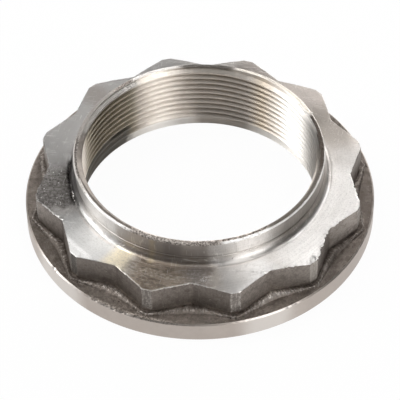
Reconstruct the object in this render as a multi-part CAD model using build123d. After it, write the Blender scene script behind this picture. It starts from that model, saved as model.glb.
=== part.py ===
from build123d import *
import os
from math import cos, pi, radians, sqrt

# Lock nut that holds a bearing on a shaft: a round flange, a twelve-point drive for a socket,
# and a thin collar that is staked into the shaft's groove. One forging, turned and threaded.
# Millimetres. The origin is the centre of the flange's bearing face, and +Z runs along the
# thread towards the collar. One of the twelve points lies on +X.

# Fine internal thread, M52 x 1.5: the bore is left at the thread's minor diameter
thread_diameter = 52.0
thread_pitch = 1.5

# Unthreaded relief at the bearing face
relief_clearance = 0.1
relief_depth = 2.0

# Flange
flange_reach = 2.2
flange_thickness = 4.8
rim_chamfer = 0.3

# Twelve-point drive
hexagon_sides = 6
across_flats = 63.0
point_trim = 0.57
drive_height = 7.1
root_radius = 0.5
crown_width = 1.8
crown_drop = 0.25

# Raised bead of metal round the foot of the drive
bead_point_reach = 1.2
bead_root_reach = 2.05
bead_height = 0.6
bead_round = 0.4
bead_root_radius = 12.0

# Staking collar
collar_wall = 1.0
collar_height = 5.8
collar_foot_radius = 1.8
lip_break = 0.35

# Sizes that follow from the ones above
major_radius = thread_diameter / 2
thread_depth = 5 / 8 * sqrt(3) / 2 * thread_pitch
minor_radius = major_radius - thread_depth
relief_radius = major_radius + relief_clearance
collar_radius = major_radius + collar_wall
flat_radius = across_flats / 2
half_step = 180 / (2 * hexagon_sides)
sharp_radius = flat_radius / cos(pi / hexagon_sides)
point_radius = sharp_radius - point_trim
root_distance = flat_radius / cos(radians(half_step))
flange_radius = point_radius + flange_reach
drive_top = flange_thickness + drive_height
nut_height = drive_top + collar_height


def twelve_points():
    """Two equal hexagons, one turned by half a side, with their points turned down to a circle."""
    hexagon = RegularPolygon(flat_radius, hexagon_sides, major_radius=False)
    sharp = hexagon + Rot(0, 0, 2 * half_step) * hexagon
    return sharp & Circle(point_radius)


def near_circle(shape, radius):
    """Corners of a flat outline that lie on a circle round the origin."""
    near = 0.01
    return [v for v in shape.vertices() if abs(Vector(v.X, v.Y, 0).length - radius) < near]


def flange():
    """Round flange, with a small chamfer on both edges of its rim."""
    disc = extrude(Circle(flange_radius), flange_thickness)
    return chamfer(disc.edges().filter_by(GeomType.CIRCLE), rim_chamfer)


def drive():
    """Twelve-point body, with filleted roots and a shallow turned crown on the points."""
    outline = twelve_points()
    outline = fillet(near_circle(outline, root_distance), root_radius)
    body = extrude(outline, drive_top)
    crown_start = point_radius - crown_width
    section = Polyline(
        (0, 0),
        (point_radius, 0),
        (point_radius, drive_top - crown_drop),
        (crown_start, drive_top),
        (0, drive_top),
        close=True,
    )
    envelope = revolve(Plane.XZ * make_face(section), Axis.Z)
    return body & envelope


def foot_bead():
    """Low bead round the foot of the drive: a blunt star that reaches further out in the roots."""
    tip = Vector(point_radius + bead_point_reach, 0)
    root = Vector(root_distance + bead_root_reach, 0)
    corners = []
    for k in range(2 * hexagon_sides):
        corners.append(tip.rotate(Axis.Z, 2 * k * half_step))
        corners.append(root.rotate(Axis.Z, (2 * k + 1) * half_step))
    outline = make_face(Polyline(*corners, close=True))
    outline = fillet(near_circle(outline, root.length), bead_root_radius)
    bead = extrude(outline, flange_thickness + bead_height)
    return fillet(bead.faces().sort_by(Axis.Z)[-1].edges(), bead_round)


def collar():
    """Thin collar that stands on the drive, with a round fillet at its foot."""
    foot = collar_radius + collar_foot_radius
    shoulder = drive_top + collar_foot_radius
    lines = [
        Line((0, 0), (foot, 0)),
        Line((foot, 0), (foot, drive_top)),
        RadiusArc((foot, drive_top), (collar_radius, shoulder), collar_foot_radius),
        Line((collar_radius, shoulder), (collar_radius, nut_height - lip_break)),
        Line((collar_radius, nut_height - lip_break), (collar_radius - lip_break, nut_height)),
        Line((collar_radius - lip_break, nut_height), (0, nut_height)),
        Line((0, nut_height), (0, 0)),
    ]
    return revolve(Plane.XZ * make_face(lines), Axis.Z)


def bore():
    """Hole through the nut: relief at the bearing face, thread's minor diameter, and a lead-in."""
    relief_end = relief_depth + relief_radius - minor_radius
    section = Polyline(
        (0, 0),
        (relief_radius, 0),
        (relief_radius, relief_depth),
        (minor_radius, relief_end),
        (minor_radius, nut_height - thread_depth),
        (major_radius, nut_height),
        (0, nut_height),
        close=True,
    )
    return revolve(Plane.XZ * make_face(section), Axis.Z)


lock_nut = flange() + foot_bead() + drive() + collar() - bore()

os.makedirs("parts", exist_ok=True)
export_step(lock_nut, "parts/lock_nut.step")
print("lock_nut solids", len(lock_nut.solids()), "volume mm3", round(lock_nut.volume, 1))
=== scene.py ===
from math import atan, atan2, cos, degrees, exp, hypot, pi, radians, sin, sqrt, tan

import bmesh
import bpy
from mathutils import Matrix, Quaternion, Vector, noise


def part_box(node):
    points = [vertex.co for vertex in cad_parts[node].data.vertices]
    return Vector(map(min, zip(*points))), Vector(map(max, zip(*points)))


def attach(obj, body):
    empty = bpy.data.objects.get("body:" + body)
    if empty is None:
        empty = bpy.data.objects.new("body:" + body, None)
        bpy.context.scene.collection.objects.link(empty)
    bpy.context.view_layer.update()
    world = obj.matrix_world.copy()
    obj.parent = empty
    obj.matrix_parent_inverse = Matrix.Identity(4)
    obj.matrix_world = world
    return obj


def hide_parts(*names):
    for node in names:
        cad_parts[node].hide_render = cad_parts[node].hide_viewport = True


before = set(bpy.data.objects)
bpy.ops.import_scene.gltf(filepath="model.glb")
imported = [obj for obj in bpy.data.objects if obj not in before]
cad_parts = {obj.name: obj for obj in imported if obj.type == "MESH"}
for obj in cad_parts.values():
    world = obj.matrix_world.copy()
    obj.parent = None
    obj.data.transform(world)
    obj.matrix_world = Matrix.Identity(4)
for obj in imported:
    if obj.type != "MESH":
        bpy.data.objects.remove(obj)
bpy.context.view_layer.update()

# Camera and studio. The nut lies on a pale seamless table in soft white light. The camera
# stands 54 cm away and 47 degrees above the table, with a long lens, and is hardly rolled.
MILLIMETRE = 0.001
camera_turn = radians(-11.39)
camera_rise = radians(47.01)
camera_distance = 542.0 * MILLIMETRE
camera_roll = radians(-0.955)
lens_length = 222.6
sensor_width = 36.0
nearest_seen = 0.01
aim = Vector((0, 0, 2.33 * MILLIMETRE))


def direction_to(turn, rise):
    """Direction from the nut to a place in the studio. A turn of 0 is straight in front."""
    return Vector((sin(turn) * cos(rise), -cos(turn) * cos(rise), sin(rise)))


back = direction_to(camera_turn, camera_rise)
camera_data = bpy.data.cameras.new("camera")
camera_data.lens = lens_length
camera_data.sensor_width = sensor_width
camera_data.clip_start = nearest_seen
camera = bpy.data.objects.new("camera", camera_data)
camera.location = aim + back * camera_distance
camera.rotation_mode = "QUATERNION"
camera.rotation_quaternion = (-back).to_track_quat("-Z", "Y") @ Quaternion((0, 0, 1), camera_roll)
bpy.context.scene.collection.objects.link(camera)
bpy.context.scene.camera = camera
bpy.context.scene.view_settings.view_transform = "Standard"

room_light = 0.05
world = bpy.data.worlds.new("studio")
world.use_nodes = True
bpy.context.scene.world = world
world.node_tree.nodes["Background"].inputs["Color"].default_value = (1, 1, 1, 1)
world.node_tree.nodes["Background"].inputs["Strength"].default_value = room_light
box_distance = 0.8


def soft_box(name, turn, rise, half_width, half_height, brightness):
    """A rectangular soft box that faces the nut: angles in degrees, brightness against white paper."""
    away = direction_to(radians(turn), radians(rise))
    lamp = bpy.data.lights.new(name, "AREA")
    lamp.shape = "RECTANGLE"
    lamp.size = 2 * box_distance * tan(radians(half_width))
    lamp.size_y = 2 * box_distance * tan(radians(half_height))
    lamp.energy = brightness * pi * lamp.size * lamp.size_y
    box = bpy.data.objects.new(name, lamp)
    box.location = away * box_distance
    box.rotation_mode = "QUATERNION"
    box.rotation_quaternion = away.to_track_quat("Z", "Y")
    bpy.context.scene.collection.objects.link(box)


soft_box("tall_box_right_front", 28, 21, 12, 26, 3.6)
soft_box("box_left", 251, 44, 11, 25, 6.0)
soft_box("strip_right_back", 140, 35, 3.5, 30, 6.6)
soft_box("strip_overhead", 82, 73, 40, 3.2, 5.2)
soft_box("backdrop_low", 166, 13, 35, 12, 3.5)
soft_box("panel_overhead", -11, 76, 22, 14, 0.8)


def add(tree, kind, inputs=None, **settings):
    """Adds a shader node with its settings. An input is a plain value or another node's output."""
    node = tree.nodes.new(kind)
    for name, value in settings.items():
        setattr(node, name, value)
    for key, value in (inputs or {}).items():
        if isinstance(value, bpy.types.NodeSocket):
            tree.links.new(value, node.inputs[key])
        else:
            node.inputs[key].default_value = value
    return node


def maths(tree, operation, *values):
    """Adds a maths node and gives back its result."""
    return add(tree, "ShaderNodeMath", dict(enumerate(values)), operation=operation).outputs[0]


table_radius = 2.0
table_white = 0.96
shade_in_hole = 0.1
hole_radius = 26 * MILLIMETRE
rim_radius = 38 * MILLIMETRE
table_mesh = bpy.data.meshes.new("table")
bm = bmesh.new()
bmesh.ops.create_circle(bm, cap_ends=True, segments=96, radius=table_radius)
bm.to_mesh(table_mesh)
bm.free()
table = bpy.data.objects.new("table", table_mesh)
bpy.context.scene.collection.objects.link(table)

# The table looks white to the camera and in the metal, except that the metal sees the shade
# in the nut's hole. A little of its true shade is kept, so that the nut's shadow stays.
white = bpy.data.materials.new("white_table")
white.use_nodes = True
tree = white.node_tree
paint = tree.nodes["Principled BSDF"]
paint.inputs["Base Color"].default_value = (0.8, 0.8, 0.8, 1)
paint.inputs["Roughness"].default_value = 1
paint.inputs["Specular IOR Level"].default_value = 0
place = add(tree, "ShaderNodeTexCoord").outputs["Object"]
from_middle = add(tree, "ShaderNodeVectorMath", {0: place}, operation="LENGTH").outputs["Value"]
outside = add(tree, "ShaderNodeMapRange", {
    "Value": from_middle, "From Min": hole_radius, "From Max": rim_radius, "To Min": shade_in_hole})
light_path = add(tree, "ShaderNodeLightPath")
in_metal = maths(tree, "MULTIPLY", light_path.outputs["Is Glossy Ray"], outside.outputs["Result"])
seen = maths(tree, "MAXIMUM", light_path.outputs["Is Camera Ray"], in_metal)
seen = maths(tree, "MAXIMUM", seen, light_path.outputs["Is Transmission Ray"])
whiteness = maths(tree, "MULTIPLY", seen, table_white)
glow = add(tree, "ShaderNodeEmission").outputs["Emission"]
blend = add(tree, "ShaderNodeMixShader", {"Fac": whiteness, 1: paint.outputs["BSDF"], 2: glow})
tree.links.new(blend.outputs["Shader"], tree.nodes["Material Output"].inputs["Surface"])
table_mesh.materials.append(white)

# Flange, the foot of the nut. One steel forging carries everything: it is turned flat on the
# bearing face and round on the rim, with a small chamfer on both edges of the rim.
low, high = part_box("lock_nut")
flange_radius = (high.x - low.x) / 2 / MILLIMETRE
flange_thickness = 4.8
rim_chamfer = 0.3
relief_radius = 26.1
columns = 888
bm = bmesh.new()
bm.verts.layers.float.new("worn")


def ring(radius, height):
    """A row of the surface that is a plain circle."""
    return lambda angle: (radius, height)


def between(first, last, share):
    """A row that lies between two others."""
    return lambda angle: tuple(a + (b - a) * share for a, b in zip(first(angle), last(angle)))


def spun(section, rise=0.0):
    """Turns a section of (radius, height) points once round the thread, in a mesh of its own."""
    strip = bmesh.new()
    row_of = strip.verts.layers.int.new("row")
    chain = [strip.verts.new((radius, 0, height)) for radius, height in section]
    for k, vert in enumerate(chain):
        vert[row_of] = k
    edges = [strip.edges.new(pair) for pair in zip(chain, chain[1:])]
    bmesh.ops.spin(strip, geom=chain + edges, cent=(0, 0, 0), axis=(0, 0, 1), dvec=(0, 0, rise / columns),
                   angle=2 * pi, steps=columns, use_merge=not rise, use_duplicate=False)
    return strip, row_of


def column_angle(vert):
    """Angle of the column that a point belongs to."""
    step = 2 * pi / columns
    return round(atan2(vert.co.y, vert.co.x) / step) * step


def added(strip, finish):
    """Gives a finished strip its material and joins it to the nut."""
    for face in strip.faces:
        face.material_index = finish
    mesh = bpy.data.meshes.new("strip")
    strip.to_mesh(mesh)
    strip.free()
    bm.from_mesh(mesh)
    bpy.data.meshes.remove(mesh)


def turned_strip(rows, finish, worn=lambda angle, row: 0):
    """Spins a stretch of the nut's section and lays its rows in place. Worn says how it is rubbed."""
    strip, row_of = spun([row(0) for row in rows])
    worn_layer = strip.verts.layers.float.new("worn")
    for vert in strip.verts:
        angle = column_angle(vert)
        radius, height = rows[vert[row_of]](angle)
        vert.co = (radius * cos(angle), radius * sin(angle), height)
        vert[worn_layer] = worn(angle, vert[row_of])
    added(strip, finish)


RIM, SCALE, TURNED, FORMED, LIP, THREADED = range(6)
rim_heights = (0.3, 2.4, 4.0, 4.35, 4.5)
flange_edge = [ring(radius, 0) for radius in (relief_radius, 30, 34, flange_radius - rim_chamfer)]
flange_edge += [ring(flange_radius, height) for height in rim_heights]
flange_edge += [ring(flange_radius - rim_chamfer / 2, flange_thickness - rim_chamfer / 2),
                ring(flange_radius - rim_chamfer, flange_thickness)]
turned_strip(flange_edge, RIM)

# Drive, twelve points for a ring spanner or socket: two equal hexagons, one turned by 30
# degrees, as forged, with the points and the top turned. A little bead of metal that the
# forging die left runs round its foot.
half_step = pi / 12
across_flats = 63.0
flat_radius = across_flats / 2
point_trim = 0.57
point_radius = flat_radius / cos(pi / 6) - point_trim
drive_top = 11.9
root_radius = 0.5
crown_width = 1.8
crown_start = point_radius - crown_width
crown_drop = 0.25
bead_point_reach = 1.4
bead_root_reach = 2.05
bead_height = 0.6
bead_root_radius = 12.0
land_along = sqrt(point_radius ** 2 - flat_radius ** 2)
land_angle = pi / 6 - atan2(land_along, flat_radius)


def angle_from_point(angle):
    """Angle to the nearest of the twelve points."""
    return abs((angle + half_step) % (2 * half_step) - half_step)


def outline_radius(angle, reach=0.0):
    """Radius of the twelve-point outline, moved out by reach, with rounded roots."""
    from_root = half_step - angle_from_point(angle)
    face = flat_radius + reach
    centre = (face + root_radius) / cos(half_step)
    if from_root < atan(centre * sin(half_step) / face) - half_step:
        return centre * cos(from_root) - sqrt(max(0, root_radius ** 2 - (centre * sin(from_root)) ** 2))
    return min(face / cos(half_step + from_root), point_radius + reach)


bead_tip = point_radius + bead_point_reach
bead_root = flat_radius / cos(half_step) + bead_root_reach
bead_bend = atan2(bead_tip * cos(half_step) - bead_root, bead_tip * sin(half_step))


def bead_radius(angle):
    """Radius of the bead's outer foot, a blunt star that reaches further out in the roots."""
    from_point = angle_from_point(angle)
    from_root = half_step - from_point
    centre = bead_root + bead_root_radius / cos(bead_bend)
    if centre * sin(from_root) < bead_root_radius * sin(bead_bend):
        return centre * cos(from_root) - sqrt(bead_root_radius ** 2 - (centre * sin(from_root)) ** 2)
    return bead_tip * bead_root * sin(half_step) / (bead_tip * sin(from_point) + bead_root * sin(from_root))


def crown_height(radius):
    """Height of the drive's top, which falls a little towards the points."""
    return drive_top - crown_drop * max(0, radius - crown_start) / (point_radius - crown_start)


def bead_blend(angle, at_point, in_root):
    """Blends two values between the bead's points and its roots."""
    return in_root + (at_point - in_root) * (1 - angle_from_point(angle) / half_step) ** 1.5


def bead_row(share, at_point, in_root):
    """A row along the bead: its share of the way from the outer foot to the wall, and its two heights."""
    return lambda angle: (bead_radius(angle) + share * (outline_radius(angle) - bead_radius(angle)),
                          flange_thickness + bead_blend(angle, at_point, in_root))


def wall_row(share):
    """A row along the drive's wall, by its share of the wall's height."""
    foot = bead_rows[-1]
    return lambda angle: (outline_radius(angle),
                          foot(angle)[1] + share * (crown_height(outline_radius(angle)) - foot(angle)[1]))


def top_row(inset):
    """A row on the drive's top, by its distance from the outline."""
    return lambda angle: (outline_radius(angle, -inset), crown_height(outline_radius(angle, -inset)))


def crease_row(angle):
    """The row where the crown of the points begins."""
    return min(crown_start, outline_radius(angle) - 0.6), drive_top


bead_rows = [bead_row(share, at_point, in_root) for share, at_point, in_root in (
    (0, 0, 0), (0.05, 0.30, 0.12), (0.13, 0.50, 0.26), (0.24, 0.58, 0.42), (0.38, 0.55, 0.55),
    (0.54, 0.46, 0.62), (0.7, 0.38, 0.63), (0.86, 0.34, 0.56), (1, 0.34, 0.48))]
rub_in_root = [0.0, 0.05, 0.15, 0.45, 0.9, 1, 1, 0.7, 0.2]
rub_at_point = [0.7, 1, 1, 0.6, 0.3, 0.15, 0.1, 0.1, 0.1]
flat_start = ring(flange_radius - 0.6, flange_thickness)
flange_flat = [ring(flange_radius - rim_chamfer, flange_thickness), flat_start]
flange_flat += [between(flat_start, bead_rows[0], share) for share in (0.3, 0.65, 1)]
turned_strip(flange_flat, SCALE)


def rubbed_bead(angle, row):
    """The bead is rubbed on its back in the roots, and on its outer foot at the points."""
    return bead_blend(angle, rub_at_point[row], rub_in_root[row])


turned_strip(bead_rows, SCALE, worn=rubbed_bead)
land_edge = land_angle - radians(0.2)


def near_angle(angle, middle, spread):
    """Falls from 1 to 0 away from a middle angle, in degrees."""
    off = (degrees(angle) - middle + 180) % 360 - 180
    return exp(-(off / spread) ** 2)


def forced(angle, places):
    """Adds up what is listed for a row of places: a middle angle, a spread in degrees, and a strength."""
    return sum(near_angle(angle, middle, spread) * strength for middle, spread, strength in places)


def rubbed_point(angle, row):
    """The drive's points are rubbed bright along both edges."""
    return 1 if row > 1 and abs(angle_from_point(angle) - land_edge) < radians(0.3) else 0


wall_rows = [wall_row(share) for share in (0, 0.05, 0.16, 0.38, 0.6, 0.8, 0.92, 0.985)]
turned_strip(wall_rows, SCALE, worn=rubbed_point)
fillet_reach = 1.45
collar_radius = 27.0
foot_radius = collar_radius + fillet_reach
shiny_edges = [(192, 9, 1.1), (204, 6, 0.8), (232, 6, 0.7), (252, 12, 0.9)]
specks_round = 110


def rubbed_edge(angle, row):
    """The drive's upper edge is rubbed bright where the nut was knocked about."""
    shine = 0.2 + forced(angle, shiny_edges)
    speck = noise.noise(Vector((specks_round * cos(angle), specks_round * sin(angle), 4)))
    shine += 1.6 * speck * (0.3 + near_angle(angle, 316, 26))
    return min(1, max(0, shine)) if row < 2 else 0


top_rows = [wall_rows[-1], top_row(0.1), top_row(0.3), crease_row]
top_rows += [between(crease_row, ring(foot_radius, drive_top), share) for share in (0.2, 0.45, 0.7, 0.9, 1)]
turned_strip(top_rows, TURNED, worn=rubbed_edge)

# Staking collar, a thin wall that is dented into the shaft's groove when the nut is fitted.
# It is turned, with a hollow fillet at its foot and a fine tool line where the fillet ends.
nut_height = (high.z - low.z) / MILLIMETRE
collar_foot_radius = 1.8
tool_step = 0.08
lip_round = 0.4
major_radius = 26.0
fillet_top = drive_top + collar_foot_radius
fillet_rows = [ring(foot_radius - (fillet_reach - tool_step) * sin(turn),
                    fillet_top - collar_foot_radius * cos(turn))
               for turn in (k * pi / 20 for k in range(11))]
fillet_rows += [ring(collar_radius + 0.1, fillet_top + 0.1), ring(collar_radius + 0.01, fillet_top + 0.14)]
turned_strip(fillet_rows, FORMED)
wall_heights = (fillet_top + 0.3, 15.0, 16.4, nut_height - lip_round)
turned_strip([fillet_rows[-1]] + [ring(collar_radius, height) for height in wall_heights], TURNED)
lip_rows = [ring(collar_radius - lip_round * (1 - cos(turn)), nut_height - lip_round * (1 - sin(turn)))
            for turn in (k * pi / 8 for k in range(5))]
lip_rows += [ring(radius, nut_height) for radius in (26.4, 26.2, major_radius)]
turned_strip(lip_rows, LIP)

# Thread, M52 x 1.5, right hand. It runs from the lead-in at the collar's mouth down to a
# plain relief at the bearing face. Its crests are flat, cut with a single-point tool, and old
# grease is packed in its last grooves on the left.
pitch = 1.5
thread_depth = 5 / 8 * sqrt(3) / 2 * pitch
minor_radius = major_radius - thread_depth
relief_depth = 2.0
first_groove_height = 15.78
first_groove_angle = radians(78.61)
crest_width = pitch / 4
root_width = pitch / 8
flank_rise = (pitch - crest_width - root_width) / 2
profile = [(0, minor_radius), (crest_width, minor_radius), (crest_width + flank_rise, major_radius),
           (crest_width + flank_rise + root_width, major_radius)]
groove_middle = crest_width + flank_rise + root_width / 2
lowest_turn = first_groove_height - groove_middle - pitch * first_groove_angle / (2 * pi)
lowest_turn -= pitch * int((lowest_turn - relief_depth) / pitch + 2)
thread_turns = int((nut_height - lowest_turn) / pitch) + 2
thread, thread_row = spun([(minor_radius, lowest_turn + pitch * turn + rise)
                          for turn in range(thread_turns) for rise, radius in profile], rise=pitch)
packed = [(140, 26, 4.6), (88, 26, 2.2)]
packed_radius = minor_radius + 0.25
packed_slope = 0.8
for vert in thread.verts:
    angle = column_angle(vert)
    height = min(max(vert.co.z, relief_depth), nut_height)
    relief = relief_radius - (height - relief_depth)
    lead_in = major_radius - (nut_height - height)
    radius = max(profile[vert[thread_row] % len(profile)][1], relief, lead_in)
    grease = relief_depth + forced(angle, packed)
    fill = min(1, max(0, (grease - height) / packed_slope))
    radius += (min(radius, packed_radius) - radius) * fill
    vert.co = (radius * cos(angle), radius * sin(angle), height)
added(thread, THREADED)
turned_strip([ring(relief_radius, relief_depth), ring(relief_radius, 0)], THREADED)

seam = 0.002
bmesh.ops.remove_doubles(bm, verts=bm.verts, dist=seam)
bmesh.ops.dissolve_degenerate(bm, dist=seam / 4, edges=bm.edges)
bmesh.ops.recalc_face_normals(bm, faces=bm.faces)

# Knocks and burrs. The nut has been handled loose: its edges are nicked and burred, the lip is
# pushed out at the left and the right, a gouge runs along the collar's foot, and the bead is
# furrowed and uneven from the die.


def lump(point, size, seed):
    """Soft noise of a set lump size in millimetres, from -1 to 1."""
    return noise.noise(Vector(point) / size + Vector((seed, 0, 0)))


burred_edges = [(172, 14, 1.0), (188, 7, 1.4), (232, 6, 0.6), (253, 9, 0.8), (293, 9, 1.3), (304, 5, 1.0),
                (314, 12, 1.5), (336, 9, 0.8), (355, 10, 0.2)]
edge_reach = 0.45
nicked_rim = [(203, 2, 1.2), (230, 8, 0.8), (254, 4, 0.35), (282, 10, 0.35), (330, 14, 0.4)]
rim_reach = 0.6
crumbs = [(205, 9, 0.6), (230, 8, 1.2), (256, 14, 1.3), (280, 9, 1.2), (115, 14, 0.8), (350, 14, 0.6)]
flared_lip = [(178, 14, 0.35), (38, 30, 0.35), (100, 12, 0.25)]
lip_start = 17.0
gouge_radius = 28.15
gouge_reach = 0.5
gouge_depth = 0.9
dents = [((203.2, 27.55, 12.9), 0.5, 0.25), ((12.8, 26.9, 17.7), 0.5, -0.25)]
furrow_radius = 35
worn_layer = bm.verts.layers.float["worn"]
up = Vector((0, 0, 1))
for vert in bm.verts:
    point = vert.co.copy()
    radius = hypot(point.x, point.y)
    angle = atan2(point.y, point.x)
    outward = Vector((point.x, point.y, 0)) / radius
    move = Vector((0, 0, 0))
    outline = outline_radius(angle)
    to_edge = hypot(radius - outline, point.z - crown_height(outline))
    if to_edge < edge_reach:
        force = (0.16 + forced(angle, burred_edges)) * (1 - to_edge / edge_reach)
        chip = max(0, 0.7 * lump(point, 0.55, 3) + 0.8 * lump(point, 0.3, 5) - 0.05)
        burr = max(0, lump(point, 0.5, 9) - 0.05)
        move -= (outward * 0.7 + up * 0.4) * chip * force
        move += (outward * 0.35 + up * 0.1) * burr * force
    to_rim = hypot(radius - flange_radius + rim_chamfer / 2, point.z - flange_thickness + rim_chamfer / 2)
    if to_rim < rim_reach:
        force = (0.06 + forced(angle, nicked_rim)) * (1 - to_rim / rim_reach)
        chip = min(0.6, force * max(0, lump(point, 0.9, 11) + lump(point, 0.4, 13)))
        move -= (outward * 0.25 + up * 0.3) * chip
        vert[worn_layer] = max(vert[worn_layer], min(0.25, 1.2 * chip))
    if major_radius - 0.1 < radius < collar_radius + 0.3 and point.z > lip_start:
        force = 0.3 + forced(angle, crumbs)
        crumb = lump(point, 0.5, 17) + 0.6 * lump(point, 0.25, 19) + 0.2
        move += (outward * 0.4 - up) * 0.1 * crumb * force
        move += outward * forced(angle, flared_lip) * (point.z - lip_start) / (nut_height - lip_start)
    if outline + 0.1 < radius < bead_radius(angle) and point.z > flange_thickness + 0.1:
        along = outward * furrow_radius
        furrow = noise.noise(along / 0.55) + 0.8 * noise.noise(along / 0.32 + Vector((7, 0, 0)))
        lift = (point.z - flange_thickness) / bead_height
        move += (up * 0.11 + outward * 0.13) * furrow * lift + up * 0.12 * lump(point, 1.6, 23) * lift
    gouge = max(near_angle(angle, 170, 8), 0.6 * near_angle(angle, 178, 5),
                0.9 * near_angle(angle, 184.5, 3.5))
    gouge *= max(0, 1 - ((radius - gouge_radius) / gouge_reach) ** 2)
    if gouge > 0.02 and drive_top - 0.3 < point.z < drive_top + 0.5:
        rough = 1 + 0.6 * lump(point, 0.8, 31) + 0.5 * lump(point, 0.35, 33)
        move -= up * gouge_depth * gouge * max(0, rough)
    for (azimuth, reach, height), size, depth in dents:
        middle = Vector((reach * cos(radians(azimuth)), reach * sin(radians(azimuth)), height))
        off = (point - middle).length / size
        if off < 1:
            move -= (outward * 0.7 + up * 0.7) * depth * (1 - off * off)
    vert.co = point + move

sharp_angle = radians(25)
for edge in bm.edges:
    edge.smooth = edge.calc_face_angle(0) < sharp_angle
for face in bm.faces:
    face.smooth = True
bmesh.ops.scale(bm, vec=(MILLIMETRE,) * 3, verts=bm.verts)
nut_mesh = bpy.data.meshes.new("bearing_lock_nut")
bm.to_mesh(nut_mesh)
bm.free()
nut = bpy.data.objects.new("bearing_lock_nut", nut_mesh)
bpy.context.scene.collection.objects.link(nut)

# Steel finishes. Bright turned steel with fine rings, a ground rim, dark forging scale, and a
# bored thread. Films of oil and stain lie on the turned faces, and light and shade are painted
# into the colour of every finish. One set of effects serves all.


def new_group(name, inputs, output):
    """Starts a shared effect: its inputs are numbers, mostly in millimetres, or directions."""
    tree = bpy.data.node_groups.new(name, "ShaderNodeTree")
    for socket, value in inputs.items():
        kind = "NodeSocketFloat" if isinstance(value, (int, float)) else "NodeSocketVector"
        tree.interface.new_socket(socket, in_out="INPUT", socket_type=kind).default_value = value
    tree.interface.new_socket(output, in_out="OUTPUT", socket_type="NodeSocketFloat")
    return tree, tree.nodes.new("NodeGroupInput").outputs, tree.nodes.new("NodeGroupOutput").inputs


def effect(tree, group, **inputs):
    """Places a shared effect in a material and gives back its result."""
    values = {name.replace("_", " ").title(): value for name, value in inputs.items()}
    return add(tree, "ShaderNodeGroup", values, node_tree=group).outputs[0]


def nut_place(tree):
    """Where a point of the nut is: direction round the thread, radius and height in millimetres."""
    point = add(tree, "ShaderNodeTexCoord").outputs["Object"]
    point = add(tree, "ShaderNodeVectorMath", {0: point, "Scale": 1 / MILLIMETRE}, operation="SCALE")
    point = point.outputs["Vector"]
    split = add(tree, "ShaderNodeSeparateXYZ", {"Vector": point}).outputs
    flat = add(tree, "ShaderNodeCombineXYZ", {"X": split["X"], "Y": split["Y"]}).outputs["Vector"]
    radius = add(tree, "ShaderNodeVectorMath", {0: flat}, operation="LENGTH").outputs["Value"]
    direction = add(tree, "ShaderNodeVectorMath", {0: flat}, operation="NORMALIZE").outputs["Vector"]
    return point, direction, radius, split["Z"]


def smooth_step(tree, value, start, end):
    """Rises smoothly from 0 to 1 while the value goes from start to end."""
    return add(tree, "ShaderNodeMapRange", {"Value": value, "From Min": start, "From Max": end},
               interpolation_type="SMOOTHSTEP").outputs["Result"]


def cloud(tree, vector, scale, detail=3.0, rough=0.55):
    """Noise from 0 to 1."""
    settings = {"Vector": vector, "Scale": scale, "Detail": detail, "Roughness": rough}
    return add(tree, "ShaderNodeTexNoise", settings, noise_dimensions="3D").outputs["Fac"]


# Fine rings that a lathe tool leaves, broken up along their length
turning_marks, given, result = new_group("turning_marks", {"Spacing": 0.2, "Slope": -0.6, "Length": 8.0},
                                         "Height")
collar_middle = 30.0
_, direction, radius, height = nut_place(turning_marks)
across = maths(turning_marks, "ADD", radius, maths(turning_marks, "MULTIPLY", height, given["Slope"]))
across = maths(turning_marks, "DIVIDE", across, given["Spacing"])
along = maths(turning_marks, "DIVIDE", collar_middle, given["Length"])
along = add(turning_marks, "ShaderNodeVectorMath", {0: direction, "Scale": along}, operation="SCALE")
along = add(turning_marks, "ShaderNodeSeparateXYZ", {"Vector": along.outputs["Vector"]}).outputs
marks = add(turning_marks, "ShaderNodeCombineXYZ", {"X": across, "Y": along["X"], "Z": along["Y"]})
marks = marks.outputs["Vector"]
turning_marks.links.new(cloud(turning_marks, marks, 1.0, 2.0, 0.6), result["Height"])

# A mask with ragged edges, for a stain or for painted light and shade: a sector round the thread,
# between two radii
past_rim = 50.0
soft_border = 0.25
ragged_sector, given, result = new_group("ragged_sector", {
    "Middle": (1.0, 0.0, 0.0), "Half Width": 20.0, "Edge": 4.0, "Ragged": 4.0,
    "Inside": 0.0, "Outside": past_rim, "Lowest": -1.0, "Border": soft_border}, "Mask")
point, direction, radius, height = nut_place(ragged_sector)
off = add(ragged_sector, "ShaderNodeVectorMath", {0: direction, 1: given["Middle"]}, operation="DOT_PRODUCT")
off = maths(ragged_sector, "MULTIPLY", maths(ragged_sector, "ARCCOSINE", off.outputs["Value"]), degrees(1))
waver = maths(ragged_sector, "SUBTRACT", cloud(ragged_sector, point, 0.45, 4.0, 0.65), 0.5)
off = maths(ragged_sector, "ADD", off, maths(ragged_sector, "MULTIPLY", waver, given["Ragged"]))
past = maths(ragged_sector, "DIVIDE", maths(ragged_sector, "SUBTRACT", off, given["Half Width"]), given["Edge"])
mask = smooth_step(ragged_sector, past, 0.5, -0.5)
waver = maths(ragged_sector, "MULTIPLY", waver, 2.4)


def past_border(value, border):
    """How far a radius is past a film's border, in widths of the border."""
    share = maths(ragged_sector, "DIVIDE", maths(ragged_sector, "SUBTRACT", value, border), given["Border"])
    return maths(ragged_sector, "ADD", share, waver)


inner = smooth_step(ragged_sector, past_border(radius, given["Inside"]), -1.0, 1.0)
outer = smooth_step(ragged_sector, past_border(radius, given["Outside"]), 1.0, -1.0)
upper = smooth_step(ragged_sector, maths(ragged_sector, "SUBTRACT", height, given["Lowest"]), -0.25, 0.25)
mask = maths(ragged_sector, "MULTIPLY", maths(ragged_sector, "MULTIPLY", mask, inner), maths(ragged_sector, "MULTIPLY", outer, upper))
ragged_sector.links.new(mask, result["Mask"])

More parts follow.
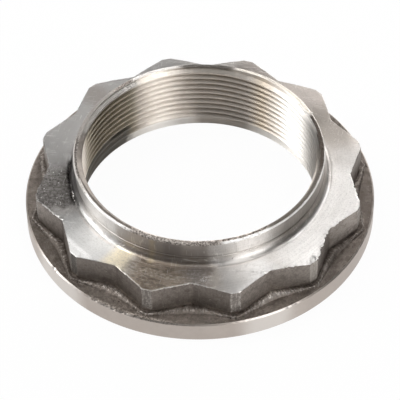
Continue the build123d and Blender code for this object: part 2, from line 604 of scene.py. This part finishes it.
# Blotches of uneven finish, and small pits
blotches, given, result = new_group("blotches", {"Size": 3.0, "Low": 0.4, "High": 0.6}, "Mask")
point = nut_place(blotches)[0]
spots = cloud(blotches, point, maths(blotches, "DIVIDE", 1.0, given["Size"]), 5.0, 0.62)
blotches.links.new(smooth_step(blotches, spots, given["Low"], given["High"]), result["Mask"])

pits, given, result = new_group("pits", {"Spacing": 1.0, "Pit Size": 0.15, "Share": 0.3}, "Mask")
point = nut_place(pits)[0]
bent = add(pits, "ShaderNodeTexNoise", {"Vector": point, "Scale": 2.0}).outputs["Color"]
bent = add(pits, "ShaderNodeVectorMath", {0: bent, 1: (0.5, 0.5, 0.5), 2: point},
           operation="MULTIPLY_ADD").outputs["Vector"]
density = maths(pits, "DIVIDE", 1.0, given["Spacing"])
cells = add(pits, "ShaderNodeTexVoronoi", {"Vector": bent, "Scale": density},
            voronoi_dimensions="3D", feature="F1")
close = maths(pits, "MULTIPLY", cells.outputs["Distance"], given["Spacing"])
hole = smooth_step(pits, close, given["Pit Size"], maths(pits, "MULTIPLY", given["Pit Size"], 0.5))
chosen = add(pits, "ShaderNodeSeparateColor", {"Color": cells.outputs["Color"]}).outputs["Red"]
chosen = maths(pits, "LESS_THAN", chosen, given["Share"])
pits.links.new(maths(pits, "MULTIPLY", hole, chosen), result["Mask"])

# Short straight scratches that all run one way
scratches, given, result = new_group("scratches", {"Turn": 30.0, "Width": 0.12, "Length": 4.0, "Low": 0.66},
                                     "Mask")
point = nut_place(scratches)[0]
turn = maths(scratches, "RADIANS", given["Turn"])
turned = add(scratches, "ShaderNodeVectorRotate", {"Vector": point, "Angle": turn}, rotation_type="Z_AXIS")
split = add(scratches, "ShaderNodeSeparateXYZ", {"Vector": turned.outputs["Vector"]}).outputs
marks = add(scratches, "ShaderNodeCombineXYZ", {"X": maths(scratches, "DIVIDE", split["X"], given["Length"]),
                                                "Y": maths(scratches, "DIVIDE", split["Y"], given["Width"]),
                                                "Z": maths(scratches, "MULTIPLY", split["Z"], 0.3)})
spots = cloud(scratches, marks.outputs["Vector"], 1.0, 1.0, 0.5)
high_end = maths(scratches, "ADD", given["Low"], 0.06)
scratches.links.new(smooth_step(scratches, spots, given["Low"], high_end), result["Mask"])

# Marks drawn straight up the walls and over the bead by the forging die
drawn_marks, given, result = new_group("drawn_marks", {"Spacing": 0.6, "Length": 3.0}, "Height")
wall_middle = 34.0
_, direction, radius, height = nut_place(drawn_marks)
round_it = maths(drawn_marks, "DIVIDE", wall_middle, given["Spacing"])
round_it = add(drawn_marks, "ShaderNodeVectorMath", {0: direction, "Scale": round_it}, operation="SCALE")
round_it = add(drawn_marks, "ShaderNodeSeparateXYZ", {"Vector": round_it.outputs["Vector"]}).outputs
along = maths(drawn_marks, "DIVIDE", maths(drawn_marks, "SUBTRACT", height, radius), given["Length"])
marks = add(drawn_marks, "ShaderNodeCombineXYZ", {"X": round_it["X"], "Y": round_it["Y"], "Z": along})
drawn_marks.links.new(cloud(drawn_marks, marks.outputs["Vector"], 1.0, 3.0, 0.6), result["Height"])


def mixed(tree, share, first, second):
    """Blends two colours, each red, green and blue or another node's output."""
    node = add(tree, "ShaderNodeMix", data_type="RGBA")
    for socket, value in zip((node.inputs[0], node.inputs[6], node.inputs[7]), (share, first, second)):
        if isinstance(value, bpy.types.NodeSocket):
            tree.links.new(value, socket)
        elif isinstance(value, tuple):
            socket.default_value = (*value, 1)
        else:
            socket.default_value = value
    return node.outputs[2]


def times(tree, value, *others):
    """Multiplies two or more values."""
    for other in others:
        value = maths(tree, "MULTIPLY", value, other)
    return value


def laid(tree, colour, shade, *masks):
    """Lays a shade over a colour, as strongly as its masks say when they are multiplied."""
    return mixed(tree, times(tree, *masks), colour, shade)


def lerp(tree, share, first, second):
    """Blends two plain numbers."""
    ends = {"Value": share, "To Min": first, "To Max": second}
    return add(tree, "ShaderNodeMapRange", ends).outputs["Result"]


def sector(tree, azimuth, half_width, edge, ragged, **borders):
    """Mask of a stain or of painted light and shade: its middle angle, half width, soft edge and raggedness
    in degrees.
    """
    middle = (cos(radians(azimuth)), sin(radians(azimuth)), 0)
    return effect(tree, ragged_sector, middle=middle, half_width=half_width, edge=edge, ragged=ragged, **borders)


def laid_stains_and_light(tree, colour, stain_and_light_rows):
    """Lays named stains and painted light and shade over a colour, in order. Each lists its angles,
    which are those of a sector, its inner and outer radius with the softness of these borders, its
    strength and its shade."""
    for name, angles, (inside, outside, border), share, shade in stain_and_light_rows:
        laid_mask = sector(tree, *angles, inside=inside, outside=outside, border=border)
        laid_mask.node.label = name
        colour = laid(tree, colour, shade, laid_mask, share)
    return colour


def steel(name, grain=None):
    """Starts a bare steel material. Grain is how strongly turned rings stretch the light."""
    material = bpy.data.materials.new(name)
    material.use_nodes = True
    tree = material.node_tree
    shader = tree.nodes["Principled BSDF"]
    shader.inputs["Metallic"].default_value = 1
    if grain:
        shader.inputs["Anisotropic"].default_value = grain
        shader.inputs["Anisotropic Rotation"].default_value = 0.25
        rings = add(tree, "ShaderNodeTangent", direction_type="RADIAL", axis="Z").outputs["Tangent"]
        tree.links.new(rings, shader.inputs["Tangent"])
    nut_mesh.materials.append(material)
    return tree, shader


def bumped(tree, shader, *layers):
    """Stacks bumps, each a height and its depth in millimetres, on the shader's normal."""
    normal = None
    for height, depth in layers:
        inputs = {"Height": height, "Distance": depth * MILLIMETRE, "Strength": 1.0}
        if normal:
            inputs["Normal"] = normal
        normal = add(tree, "ShaderNodeBump", inputs).outputs["Normal"]
    tree.links.new(normal, shader.inputs["Normal"])


# Ground rim and bearing face: satin steel, even and warm, with a few dark nicks, and chipped
# along its upper edge at the left front. Painted highlights make it lighter at the left front
# and just right of the front, where the light fans on it.
tree, shader = steel("ground_rim", grain=0.5)
patches = effect(tree, blotches, size=6.0, low=0.3, high=0.7)
colour = mixed(tree, patches, (0.44, 0.385, 0.348), (0.51, 0.455, 0.412))
# Painted highlights where the light fans on the rim
for azimuth, half_width in ((205, 11), (280, 8)):
    colour = laid(tree, colour, (0.66, 0.615, 0.575), sector(tree, azimuth, half_width, 8, 3))
nicks = effect(tree, pits, spacing=2.6, pit_size=0.2, share=0.16)
colour = laid(tree, colour, (0.12, 0.10, 0.09), nicks)
chipped = sector(tree, 235, 17, 6, 6, lowest=flange_thickness - 0.4)
flecks = effect(tree, blotches, size=0.45, low=0.5, high=0.58)
colour = laid(tree, colour, (0.20, 0.17, 0.145), chipped, flecks, 0.75)
worn = add(tree, "ShaderNodeAttribute", attribute_name="worn").outputs["Fac"]
colour = laid(tree, colour, (0.85, 0.82, 0.78), worn)
tree.links.new(colour, shader.inputs["Base Color"])
fine = effect(tree, turning_marks, spacing=0.12, slope=-1.0, length=6.0)
tree.links.new(lerp(tree, patches, 0.38, 0.46), shader.inputs["Roughness"])
bumped(tree, shader, (fine, 0.004), (nicks, -0.05))

# Forging scale: brown-grey skin, rubbed to bare grey on the bead, with painted shade that
# darkens the walls towards their feet, and torn to bright streaks on the points, which were
# turned down after forging
tree, shader = steel("forging_scale")
worn = add(tree, "ShaderNodeAttribute", attribute_name="worn").outputs["Fac"]
point, _, radius, height = nut_place(tree)
coarse = effect(tree, blotches, size=1.6, low=0.36, high=0.66)
wide = effect(tree, blotches, size=7.0, low=0.35, high=0.65)
strokes = effect(tree, drawn_marks, spacing=0.25, length=5.0)
furrows = smooth_step(tree, effect(tree, drawn_marks, spacing=0.42, length=1.4), 0.47, 0.57)
mottle = effect(tree, blotches, size=0.45, low=0.42, high=0.58)
fine_grain = cloud(tree, point, 4.0, 4.0, 0.7)
on_wall = smooth_step(tree, height, 5.5, 6.3)
off_wall = lerp(tree, on_wall, 1.0, 0.0)
colour = mixed(tree, coarse, (0.14, 0.118, 0.10), (0.26, 0.225, 0.20))
colour = laid(tree, colour, (0.21, 0.18, 0.155), wide, 0.6)
# Painted shade: the walls' colour darkens from their tops down to their feet
shaded_wall_foot = mixed(tree, coarse, (0.16, 0.138, 0.12), (0.25, 0.22, 0.195))
high_wall = mixed(tree, wide, (0.27, 0.235, 0.21), (0.34, 0.30, 0.27))
colour = laid(tree, colour, mixed(tree, smooth_step(tree, height, 6.0, 11.5), shaded_wall_foot, high_wall), on_wall)

# The flange is scuffed along its edge and paler in places, and painted shade darkens it at the right
scuffed = sector(tree, 235, 14, 6, 6, inside=37.15)
colour = laid(tree, colour, (0.62, 0.555, 0.50), scuffed, lerp(tree, mottle, 1.0, 0.1))
paler = (0.52, 0.45, 0.39)
colour = laid(tree, colour, paler, sector(tree, 252, 44, 16, 6), 0.12)
for azimuth, share in ((228, 0.15), (256, 0.22), (284, 0.18)):
    colour = laid(tree, colour, paler, sector(tree, azimuth, 9, 8, 6), off_wall, share)
# Painted shade on the flange at the right
colour = laid(tree, colour, (0.12, 0.095, 0.08), sector(tree, 343, 18, 14, 5), 0.4)

# Light and shade are painted on the walls and points: the walls lighter at the right and darker at
# the left, some facets lighter and some darker than the rest, and the points darker at the left and
# at the front. The points are also torn
land = times(tree, on_wall, smooth_step(tree, radius, point_radius - 0.06, point_radius - 0.01))
torn = maths(tree, "MAXIMUM", times(tree, land, 0.8), times(tree, worn, on_wall))
torn = times(tree, torn, smooth_step(tree, strokes, 0.44, 0.58), lerp(tree, mottle, 1.0, 0.05))
# Painted light on the walls at the right, painted shade on the walls at the left
colour = laid(tree, colour, (0.33, 0.295, 0.265), sector(tree, 303, 24, 18, 6), on_wall, 0.5)
painted_shade = sector(tree, 205, 20, 20, 6)
colour = laid(tree, colour, (0.11, 0.095, 0.085), painted_shade, on_wall, 0.5)
# Painted light and shade, facet by facet: lit facets are paler, shaded facets darker
lit_facet = (0.5, 0.45, 0.41)
shaded_facet = (0.05, 0.042, 0.037)
for azimuth, share, shade in (
        (187.5, 0.3, lit_facet), (202.5, 0.22, lit_facet), (232.5, 0.3, (0.05, 0.043, 0.038)),
        (247.5, 0.2, shaded_facet), (262.5, 0.3, shaded_facet), (277.5, 0.3, lit_facet),
        (307.5, 0.2, (0.06, 0.05, 0.042)), (322.5, 0.62, lit_facet)):
    colour = laid(tree, colour, shade, sector(tree, azimuth, 6.8, 1, 1), on_wall, share)
# The painted shade also darkens the point at the front, and the points' lands and torn streaks
painted_shade = maths(tree, "MAXIMUM", painted_shade, times(tree, sector(tree, 238, 8, 3, 1), 0.4))
colour = laid(tree, colour, mixed(tree, painted_shade, (0.30, 0.27, 0.245), (0.11, 0.10, 0.09)), land)
colour = laid(tree, colour, (0.085, 0.073, 0.065), mottle, 0.28)
uneven = effect(tree, blotches, size=1.3, low=0.48, high=0.62)
colour = laid(tree, colour, (0.10, 0.082, 0.07), uneven, 0.35)
colour = laid(tree, colour, (0.42, 0.38, 0.345), smooth_step(tree, strokes, 0.5, 0.62), on_wall, 0.1)
grit = effect(tree, pits, spacing=0.6, pit_size=0.13, share=0.2)
colour = laid(tree, colour, (0.55, 0.50, 0.46), grit, 0.4)
# Painted light on the right point's land
lit_right_point = sector(tree, 303, 9, 3, 1)
colour = laid(tree, colour, (0.55, 0.50, 0.45), lit_right_point, land, 0.4)
colour = laid(tree, colour, mixed(tree, painted_shade, (0.56, 0.52, 0.48), (0.24, 0.22, 0.20)), torn)

# The bead is rubbed along its furrows. Painted shade dulls it at the right and left, and a
# painted highlight brightens it right of the middle
bead_painted_shade = maths(tree, "MAXIMUM", sector(tree, 318, 10, 12, 4), sector(tree, 348, 8, 8, 4))
bead_painted_shade = maths(tree, "MAXIMUM", bead_painted_shade, times(tree, sector(tree, 212, 20, 12, 4), 0.6))
rubbed = times(tree, worn, lerp(tree, furrows, 0.05, 1.0), lerp(tree, bead_painted_shade, 1.0, 0.5),
               lerp(tree, on_wall, 1.0, 0.3))
# Painted highlight on the bead right of the middle
lit = sector(tree, 284, 7, 8, 4)
rubbed = maths(tree, "MAXIMUM", rubbed, times(tree, worn, lit, off_wall, 0.4))
colour = laid(tree, colour, mixed(tree, lit, (0.48, 0.436, 0.40), (0.88, 0.825, 0.775)), rubbed)
holes = times(tree, effect(tree, pits, spacing=1.1, pit_size=0.16, share=0.3), off_wall)
colour = laid(tree, colour, (0.03, 0.025, 0.022), holes)
tree.links.new(colour, shader.inputs["Base Color"])
tree.links.new(lerp(tree, rubbed, 0.55, 0.44), shader.inputs["Roughness"])
ground = lerp(tree, on_wall, 1.0, 0.5)
bumped(tree, shader, (times(tree, fine_grain, ground), 0.10), (times(tree, coarse, ground), 0.05),
       (times(tree, strokes, lerp(tree, torn, 0.12, 1.0)), 0.12),
       (times(tree, furrows, worn, off_wall), 0.13), (holes, -0.08))

# Turned steel of the drive's top and the collar. Films of oil and stain lie on it, the left side
# is dull and pitted, and the gouge holds old dirt. Much of its light and shade round the nut is
# painted into its colour. The collar's foot and lip were cut with a form tool, which leaves them
# smoother: the light on them is sharper.
on_top = (28.6, past_rim, soft_border)
past_fillet = (28.8, past_rim, soft_border)
# Painted light and shade, as the names say: the lit right side, the shaded back left and front, the collar
# wall's painted shade and highlight, and the fillet's painted highlights and shade. Beige, beige_back,
# brown_back, pale_back and fillet_brown_and_shade are stain colours made darker as painted shade, and cream
# is a stain colour made lighter as a painted highlight.
turned_stains_and_light = [
    ("beige", (17, 17, 14, 6), on_top, 1.0, (0.44, 0.395, 0.355)),
    ("painted_light_right", (320, 28, 10, 6), on_top, 1.0, (0.95, 0.92, 0.89)),
    ("beige_back", (44, 20, 10, 6), on_top, 1.0, (0.55, 0.495, 0.455)),
    ("haze", (206, 14, 7, 4), past_fillet, 1.0, (0.69, 0.685, 0.67)),
    ("pale_front", (277, 10, 6, 5), past_fillet, 1.0, (0.70, 0.685, 0.67)),
    ("wall_left", (205, 13, 10, 4), (0, 28.3, soft_border), 1.0, (0.66, 0.64, 0.62)),
    ("wall_front_shade", (240, 22, 5, 5), (0, 28.3, soft_border), 1.0, (0.42, 0.375, 0.34)),
    ("wall_right_shade", (320, 24, 12, 5), (0, 27.8, soft_border), 1.0, (0.42, 0.385, 0.35)),
    ("painted_shade_back_left", (135, 52, 22, 6), (26.5, past_rim, soft_border), 1.0, (0.36, 0.35, 0.34)),
    ("brown_back", (123, 5, 6, 5), (27.5, past_rim, soft_border), 0.8, (0.27, 0.245, 0.225)),
    ("pale_back", (150, 11, 12, 6), on_top, 1.0, (0.385, 0.375, 0.365)),
    ("fillet_brown_and_shade", (246, 16, 6, 5), (27.15, 28.35, soft_border), 0.9, (0.33, 0.28, 0.235)),
    ("wall_shade", (246, 4, 3, 3), (0, 27.3, soft_border), 0.8, (0.29, 0.26, 0.24)),
    ("fillet_front_shade", (280, 9, 5, 3), (27.2, 28.5, soft_border), 1.0, (0.52, 0.50, 0.48)),
    ("fillet_foot_front_shade", (279, 13, 5, 3), (27.5, 28.4, 0.15), 1.0, (0.35, 0.335, 0.32)),
    ("foot_far_right_shade", (353, 15, 9, 3), (27.6, 28.75, 0.15), 1.0, (0.46, 0.43, 0.405)),
    ("wall_far_right_highlight", (5, 9, 7, 3), (26.9, 27.55, 0.12), 1.0, (0.95, 0.925, 0.90)),
    ("fillet_foot_right_highlight", (318, 20, 8, 3), (27.6, 28.6, 0.15), 1.0, (0.76, 0.735, 0.71)),
    ("fillet_left_highlight", (208, 12, 8, 3), (27.3, 27.65, 0.12), 1.0, (0.78, 0.76, 0.74)),
    ("fillet_foot_left_shade", (208, 16, 8, 3), (27.65, 28.25, 0.15), 1.0, (0.44, 0.435, 0.425)),
    ("fillet_top_left_shade", (206, 16, 8, 3), (27.02, 27.2, 0.06), 1.0, (0.54, 0.52, 0.50)),
    ("crown_left", (206, 9, 4, 4), (33.5, 34.4, soft_border), 0.7, (0.95, 0.94, 0.93)),
    ("cream", (224.5, 4.5, 5, 2), (27.9, past_rim, soft_border), 0.9, (0.97, 0.87, 0.66)),
    ("painted_shade_front", (268, 9, 9, 5), past_fillet, 0.3, (0.36, 0.33, 0.30)),
]


def turned_finish(name, grain, low_rough, high_rough, ring_depth):
    """Makes one of the two turned finishes, with the stains and the painted light and shade that run over
    both.
    """
    tree, shader = steel(name, grain=grain)
    worn = add(tree, "ShaderNodeAttribute", attribute_name="worn").outputs["Fac"]
    point, _, radius, height = nut_place(tree)
    patches = effect(tree, blotches, size=4.0, low=0.3, high=0.7)
    small = effect(tree, blotches, size=0.7, low=0.42, high=0.66)
    streaks = effect(tree, turning_marks, spacing=0.35, slope=-0.6, length=10.0)
    streaks = smooth_step(tree, streaks, 0.35, 0.65)
    colour = laid_stains_and_light(tree, mixed(tree, patches, (0.68, 0.645, 0.61), (0.76, 0.73, 0.70)), turned_stains_and_light)
    brown = sector(tree, 247, 17, 7, 8, inside=27.7)
    # Painted shade at the front, over the brown stain
    shade_at_front = sector(tree, 258, 6, 8, 8, inside=27.7)
    light_brown = mixed(tree, shade_at_front, (0.64, 0.56, 0.46), (0.44, 0.40, 0.37))
    dark_brown = mixed(tree, shade_at_front, (0.36, 0.295, 0.235), (0.24, 0.21, 0.19))
    colour = laid(tree, colour, mixed(tree, times(tree, small, streaks), dark_brown, light_brown), brown)
    tool_line = times(tree, smooth_step(tree, height, fillet_top + 0.06, fillet_top + 0.16),
                      smooth_step(tree, height, fillet_top + 0.5, fillet_top + 0.3),
                      smooth_step(tree, radius, collar_radius + 0.3, collar_radius + 0.2),
                      lerp(tree, patches, 0.3, 0.8))
    colour = laid(tree, colour, (0.24, 0.21, 0.185), tool_line)
    dabs = smooth_step(tree, effect(tree, turning_marks, spacing=0.8, slope=-0.6, length=2.6), 0.5, 0.6)
    dabbed = sector(tree, 240, 10, 8, 8, inside=28.2)
    colour = laid(tree, colour, (0.17, 0.135, 0.105), dabbed, dabs, 0.75)
    tarnish = sector(tree, 239, 4.5, 5, 7, inside=32.6)
    colour = laid(tree, colour, (0.16, 0.125, 0.095), tarnish, lerp(tree, small, 0.75, 0.35))
    straw = sector(tree, 236.5, 1.2, 2.5, 1, outside=28.8)
    colour = laid(tree, colour, (0.60, 0.50, 0.33), straw, 0.5)
    pitted = sector(tree, 178, 11.5, 9, 12, inside=28)
    colour = laid(tree, colour, mixed(tree, small, (0.085, 0.077, 0.07), (0.21, 0.198, 0.19)), pitted)
    glints = effect(tree, pits, spacing=0.55, pit_size=0.14, share=0.22)
    colour = laid(tree, colour, (0.75, 0.73, 0.7), glints, pitted)
    colour = laid(tree, colour, (0.30, 0.27, 0.25), streaks, 0.12)
    specks = effect(tree, pits, spacing=1.3, pit_size=0.13, share=0.22)
    colour = laid(tree, colour, (0.14, 0.12, 0.11), specks, 0.8)
    scored = maths(tree, "MAXIMUM", effect(tree, scratches, turn=20.0, width=0.16, length=3.0, low=0.66),
                   effect(tree, scratches, turn=-65.0, width=0.16, length=2.4, low=0.68))
    colour = laid(tree, colour, (0.92, 0.9, 0.87), scored, 0.28)
    gouged = sector(tree, 174, 12.5, 3, 3, inside=27.8, outside=28.6)
    holed = times(tree, sector(tree, 184.5, 4, 2, 6, inside=27.6, outside=29), small)
    colour = laid(tree, colour, (0.035, 0.03, 0.027), maths(tree, "MAXIMUM", gouged, holed))
    slivers = sector(tree, 182, 6, 3, 3, inside=27.8, outside=28.15, border=0.12)
    bare = effect(tree, blotches, size=0.35, low=0.5, high=0.58)
    colour = laid(tree, colour, (0.85, 0.82, 0.78), slivers, bare)
    glinting = sector(tree, 260.5, 2.5, 1.5, 2, inside=30.6, outside=32.2)
    flecks = effect(tree, blotches, size=0.25, low=0.5, high=0.6)
    colour = laid(tree, colour, (0.85, 0.83, 0.8), glinting, flecks, 0.6)
    mottle = smooth_step(tree, cloud(tree, point, 3.0, 4.0, 0.7), 0.45, 0.7)
    colour = laid(tree, colour, (0.36, 0.34, 0.32), mottle, 0.35)
    colour = laid(tree, colour, (0.8, 0.78, 0.75), worn, 0.7)
    tree.links.new(colour, shader.inputs["Base Color"])
    fine = effect(tree, turning_marks, spacing=0.16, slope=-0.6, length=9.0)
    wide = effect(tree, turning_marks, spacing=0.7, slope=-0.6, length=30.0)
    rough = maths(tree, "ADD", lerp(tree, patches, low_rough, high_rough), times(tree, pitted, 0.12))
    tree.links.new(rough, shader.inputs["Roughness"])
    rough_ground = maths(tree, "MAXIMUM", pitted, times(tree, brown, 0.4))
    ground = times(tree, cloud(tree, point, 6.0, 4.0, 0.7), rough_ground)
    bumped(tree, shader, (fine, ring_depth), (wide, ring_depth), (ground, 0.12), (specks, -0.06),
           (scored, 0.03))


turned_finish("turned_steel", 0.95, 0.38, 0.44, 0.014)
turned_finish("formed_steel", 0.9, 0.30, 0.36, 0.006)

# Lip of the collar: satin, battered, with brown dirt and dark rust in patches, and a painted
# highlight on its far side
tree, shader = steel("battered_lip", grain=0.4)
small = effect(tree, blotches, size=0.4, low=0.44, high=0.56)
chips = effect(tree, pits, spacing=0.9, pit_size=0.3, share=0.4)
white_metal = (1.0, 0.98, 0.96)
fleck = mixed(tree, small, (0.10, 0.082, 0.068), (0.42, 0.37, 0.33))
chipped_left = mixed(tree, chips, white_metal, (0.35, 0.31, 0.28))
chipped_front = mixed(tree, chips, white_metal, (0.30, 0.26, 0.23))
streaked = mixed(tree, small, (0.11, 0.095, 0.082), (0.30, 0.27, 0.245))
whole_lip = (0, past_rim, soft_border)
crisp = 0.08
colour = laid_stains_and_light(tree, mixed(tree, small, (0.60, 0.56, 0.52), (0.78, 0.74, 0.70)), [
    ("dark_land_left", (203, 24, 6, 3), (0, 26.5, crisp), 0.95, (0.13, 0.11, 0.095)),
    ("bright_edge_left", (209, 15, 8, 5), (26.6, past_rim, crisp), 1.0, chipped_left),
    ("dark_land_front", (280, 14, 4, 4), (0, 26.55, crisp), 1.0, fleck),
    ("bright_edge_front", (280, 12, 4, 4), (26.6, past_rim, crisp), 1.0, chipped_front),
    ("speckled_front", (247, 21, 5, 5), whole_lip, 0.8, fleck),
    ("bright_edge_right", (320, 28, 6, 3), (26.8, past_rim, soft_border), 1.0, white_metal),
    ("dark_land_right", (318, 27, 8, 3), (0, 26.75, crisp), 1.0, (0.12, 0.105, 0.09)),
    ("rusty_back", (354, 18, 4, 2), (0, 26.85, crisp), 1.0, (0.075, 0.06, 0.05)),
    ("cream_back", (36, 23, 6, 3), whole_lip, 1.0, (0.74, 0.69, 0.62)),
    ("dark_far_side", (74, 13, 5, 2), whole_lip, 0.95, (0.09, 0.08, 0.07)),
    # Painted highlight on the lip's far side
    ("lip_far_side_highlight", (100, 11, 4, 2), whole_lip, 1.0, (0.78, 0.75, 0.72)),
    ("flecked_far_side", (118, 6, 4, 4), whole_lip, 0.9, fleck),
    ("grey_far_side", (142, 18, 6, 4), whole_lip, 0.9, (0.28, 0.26, 0.24)),
    ("streaked_left", (172, 14, 5, 3), whole_lip, 0.9, streaked),
    ("split_left", (171, 13, 4, 3), (26.5, 26.65, 0.1), 0.9, (0.05, 0.04, 0.035)),
    ("split_edge_left", (173, 13, 4, 3), (26.85, past_rim, 0.1), 0.8, (0.8, 0.76, 0.72)),
])
tree.links.new(colour, shader.inputs["Base Color"])
fine = effect(tree, turning_marks, spacing=0.18, slope=0.6, length=4.0)
tree.links.new(lerp(tree, small, 0.50, 0.42), shader.inputs["Roughness"])
bumped(tree, shader, (fine, 0.02), (small, 0.05))

# Bored thread: bright where it fans the light, with painted light at the back right and on the
# relief, darker and browner in the grooves, dulled by an olive film and by grease on the left,
# and shaded below the far side of the lip
tree, shader = steel("bored_thread", grain=0.93)
_, _, radius, height = nut_place(tree)
patches = effect(tree, blotches, size=3.0, low=0.3, high=0.7)
colour = mixed(tree, patches, (0.76, 0.69, 0.62), (0.86, 0.80, 0.73))
olive = sector(tree, 134, 22, 6, 3)
colour = laid(tree, colour, (0.62, 0.56, 0.46), olive)
cream = sector(tree, 45, 4, 8, 2)
colour = laid(tree, colour, (0.86, 0.74, 0.58), cream, 0.6)
# Painted light on the bore at the back right
painted_light_back_right = sector(tree, 12, 20, 10, 3)
colour = laid(tree, colour, (0.95, 0.92, 0.88), painted_light_back_right)
mouth = sector(tree, 186, 40, 6, 4, lowest=nut_height - 1.7)
colour = laid(tree, colour, mixed(tree, patches, (0.20, 0.175, 0.155), (0.34, 0.305, 0.275)), mouth)
edged = sector(tree, 324, 36, 5, 2, lowest=nut_height - 0.5)
colour = laid(tree, colour, (0.27, 0.24, 0.215), edged)
lead_in = sector(tree, 132, 22, 6, 4, lowest=nut_height - 1.1)
colour = laid(tree, colour, mixed(tree, patches, (0.50, 0.475, 0.445), (0.64, 0.61, 0.575)), lead_in)
far_side = sector(tree, 66, 14, 8, 3)
low_shade = lerp(tree, smooth_step(tree, height, 9.0, 4.0), 0.2, 0.55)
colour = laid(tree, colour, (0.42, 0.39, 0.365), far_side, low_shade, smooth_step(tree, height, 16.3, 15.7))
shaded = sector(tree, 74, 12, 5, 2, lowest=nut_height - 0.5)
colour = laid(tree, colour, (0.28, 0.255, 0.23), shaded)
shining = times(tree, sector(tree, 70, 50, 10, 3), maths(tree, "SUBTRACT", 1.0, far_side))
colour = laid(tree, colour, (1.0, 0.97, 0.93), shining, smooth_step(tree, height, 3.2, 2.6))
# The grooves are made darker and browner, less so at the back right and low down
deep = times(tree, smooth_step(tree, radius, minor_radius + 0.25, minor_radius + 0.5),
             smooth_step(tree, height, relief_depth + 0.2, relief_depth + 0.5),
             smooth_step(tree, height, nut_height - 1.0, nut_height - 1.3))
groove_share = lerp(tree, sector(tree, 41, 20, 12, 3), 0.30, 0.1)
low_groove_share = lerp(tree, smooth_step(tree, height, 4.5, 8.0), 0.5, 1.0)
colour = laid(tree, colour, (0.36, 0.30, 0.25), deep, groove_share, low_groove_share)
greased = sector(tree, 140, 24, 6, 5)
colour = laid(tree, colour, (0.25, 0.235, 0.21), greased, smooth_step(tree, height, 6.6, 5.4))
tree.links.new(colour, shader.inputs["Base Color"])
fine = effect(tree, turning_marks, spacing=0.18, slope=0.6, length=5.0)
low_rough = times(tree, smooth_step(tree, height, relief_depth + 0.6, relief_depth), 0.03)
tree.links.new(maths(tree, "ADD", lerp(tree, patches, 0.43, 0.50), low_rough), shader.inputs["Roughness"])
bumped(tree, shader, (fine, 0.02))

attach(nut, "root")
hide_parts("lock_nut")
